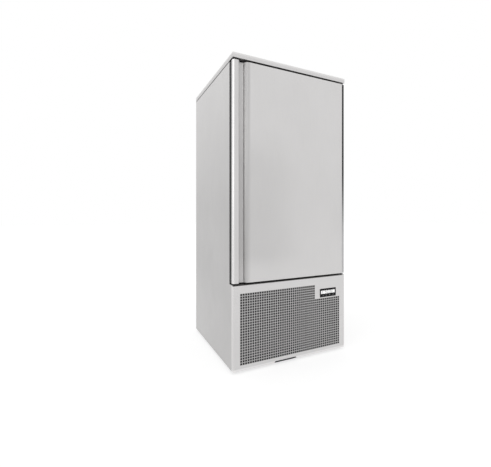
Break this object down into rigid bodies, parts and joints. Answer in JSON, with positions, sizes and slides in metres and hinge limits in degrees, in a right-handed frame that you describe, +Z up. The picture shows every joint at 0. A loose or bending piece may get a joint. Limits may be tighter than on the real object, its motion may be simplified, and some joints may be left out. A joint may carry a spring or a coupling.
{
  "type": "blast chiller",
  "caption": "Upright insulated cabinet with a full-height hinged door and grip, a perforated machine base with a controller, and a racked cold room with fans.",
  "frame": {"origin": "on the floor, under the middle of the cabinet's plan", "axes": "+Z up, +X to the right seen from the front, +Y from the door to the back"},
  "size_m": [0.79, 0.8, 1.8],
  "materials": {
    "stainless": "satin brushed stainless, fine vertical grain",
    "stainless_inside": "brushed stainless",
    "galvanised": "spangled zinc",
    "hinge_steel": "plated steel",
    "foam": "rigid foam, sealed inside",
    "black_plastic": "moulded, fine texture",
    "rubber": "soft black rubber",
    "black_paint": "black enamel",
    "motor_paint": "matt dark enamel",
    "fan_plastic": "glass-filled plastic",
    "white_plastic": "pale plastic",
    "display_glass": "clear window",
    "keys": "dark grey keys",
    "aluminium": "finned coil",
    "copper": "copper tube"
  },
  "bodies": {
    "cabinet": {"left_side_panel": "stainless", "right_side_panel": "stainless", "rear_panel": "galvanised", "rear_service_panel": "galvanised", "top_cover": "stainless", "cabinet_underside": "galvanised", "cabinet_roof": "galvanised", "insulation": "foam", "cavity_liner": "stainless_inside", "frame_profile": "black_plastic", "base_pan": "galvanised", "base_front_panel": "stainless", "controller_bezel": "black_plastic", "controller_case": "black_plastic", "display_board": "white_plastic", "display_window": "display_glass", "rack_uprights": "stainless_inside", "tray_runners": "stainless_inside", "rack_pins": "galvanised", "evaporator_cover": "stainless_inside", "fan_guards": "galvanised", "evaporator_fan_motors": "motor_paint", "evaporator_fan_brackets": "galvanised", "evaporator_coil": "aluminium", "cover_standoffs": "galvanised", "probe_gland": "black_plastic", "drain_pipe": "white_plastic", "tray_rails": "galvanised", "condenser_coil": "black_paint", "condenser_shroud": "galvanised", "condenser_fan_motors": "motor_paint", "condenser_fan_brackets": "galvanised", "compressor": "black_paint", "compressor_grommets": "rubber", "receiver": "black_paint", "refrigerant_pipes": "copper", "electrical_box": "galvanised", "cable_gland": "black_plastic", "hinge_brackets": "hinge_steel", "hinge_pins": "hinge_steel"},
    "door": {"door_skin": "stainless", "door_edge_profile": "black_plastic", "door_insulation": "foam", "door_inner_skin": "stainless_inside", "door_gasket": "rubber", "door_bushes": "white_plastic"},
    "key_power": {"key_power": "keys"},
    "key_set": {"key_set": "keys"},
    "key_down": {"key_down": "keys"},
    "key_up": {"key_up": "keys"},
    "evaporator_rotor_1": {"evaporator_rotor_1": "fan_plastic"},
    "evaporator_rotor_2": {"evaporator_rotor_2": "fan_plastic"},
    "evaporator_rotor_3": {"evaporator_rotor_3": "fan_plastic"},
    "condenser_rotor_1": {"condenser_rotor_1": "fan_plastic"},
    "condenser_rotor_2": {"condenser_rotor_2": "fan_plastic"},
    "condensate_tray": {"condensate_tray": "black_plastic"},
    "foot_front_left": {"foot_front_left": "black_plastic"},
    "foot_front_right": {"foot_front_right": "black_plastic"},
    "foot_rear_left": {"foot_rear_left": "black_plastic"},
    "foot_rear_right": {"foot_rear_right": "black_plastic"}
  },
  "joints": [
    {"name": "door_hinge", "type": "hinge", "parent": "cabinet", "child": "door", "pos_m": [0.3835, -0.376, 0.498], "axis": [0, 0, 1], "range_deg": [0, 110]},
    {"name": "key_power_press", "type": "slide", "parent": "cabinet", "child": "key_power", "axis": [0, 1, 0], "range_m": [0, 0.0006], "stiffness_N_per_m": 600, "springref_m": -0.001},
    {"name": "key_set_press", "type": "slide", "parent": "cabinet", "child": "key_set", "axis": [0, 1, 0], "range_m": [0, 0.0006], "stiffness_N_per_m": 600, "springref_m": -0.001},
    {"name": "key_down_press", "type": "slide", "parent": "cabinet", "child": "key_down", "axis": [0, 1, 0], "range_m": [0, 0.0006], "stiffness_N_per_m": 600, "springref_m": -0.001},
    {"name": "key_up_press", "type": "slide", "parent": "cabinet", "child": "key_up", "axis": [0, 1, 0], "range_m": [0, 0.0006], "stiffness_N_per_m": 600, "springref_m": -0.001},
    {"name": "evaporator_rotor_1_spin", "type": "hinge", "parent": "cabinet", "child": "evaporator_rotor_1", "pos_m": [0, 0.112, 0.78167], "axis": [0, 1, 0], "continuous": true},
    {"name": "evaporator_rotor_2_spin", "type": "hinge", "parent": "cabinet", "child": "evaporator_rotor_2", "pos_m": [0, 0.112, 1.145], "axis": [0, 1, 0], "continuous": true},
    {"name": "evaporator_rotor_3_spin", "type": "hinge", "parent": "cabinet", "child": "evaporator_rotor_3", "pos_m": [0, 0.112, 1.50833], "axis": [0, 1, 0], "continuous": true},
    {"name": "condenser_rotor_1_spin", "type": "hinge", "parent": "cabinet", "child": "condenser_rotor_1", "pos_m": [-0.235, -0.263, 0.25], "axis": [0, 1, 0], "continuous": true},
    {"name": "condenser_rotor_2_spin", "type": "hinge", "parent": "cabinet", "child": "condenser_rotor_2", "pos_m": [-0.005, -0.263, 0.25], "axis": [0, 1, 0], "continuous": true},
    {"name": "condensate_tray_slide", "type": "slide", "parent": "cabinet", "child": "condensate_tray", "axis": [0, -1, 0], "range_m": [0, 0.3]},
    {"name": "foot_front_left_turn", "type": "hinge", "parent": "cabinet", "child": "foot_front_left", "pos_m": [-0.33, -0.32, 0], "axis": [0, 0, 1], "continuous": true},
    {"name": "foot_front_right_turn", "type": "hinge", "parent": "cabinet", "child": "foot_front_right", "pos_m": [0.33, -0.32, 0], "axis": [0, 0, 1], "continuous": true},
    {"name": "foot_rear_left_turn", "type": "hinge", "parent": "cabinet", "child": "foot_rear_left", "pos_m": [-0.33, 0.32, 0], "axis": [0, 0, 1], "continuous": true},
    {"name": "foot_rear_right_turn", "type": "hinge", "parent": "cabinet", "child": "foot_rear_right", "pos_m": [0.33, 0.32, 0], "axis": [0, 0, 1], "continuous": true}
  ]
}
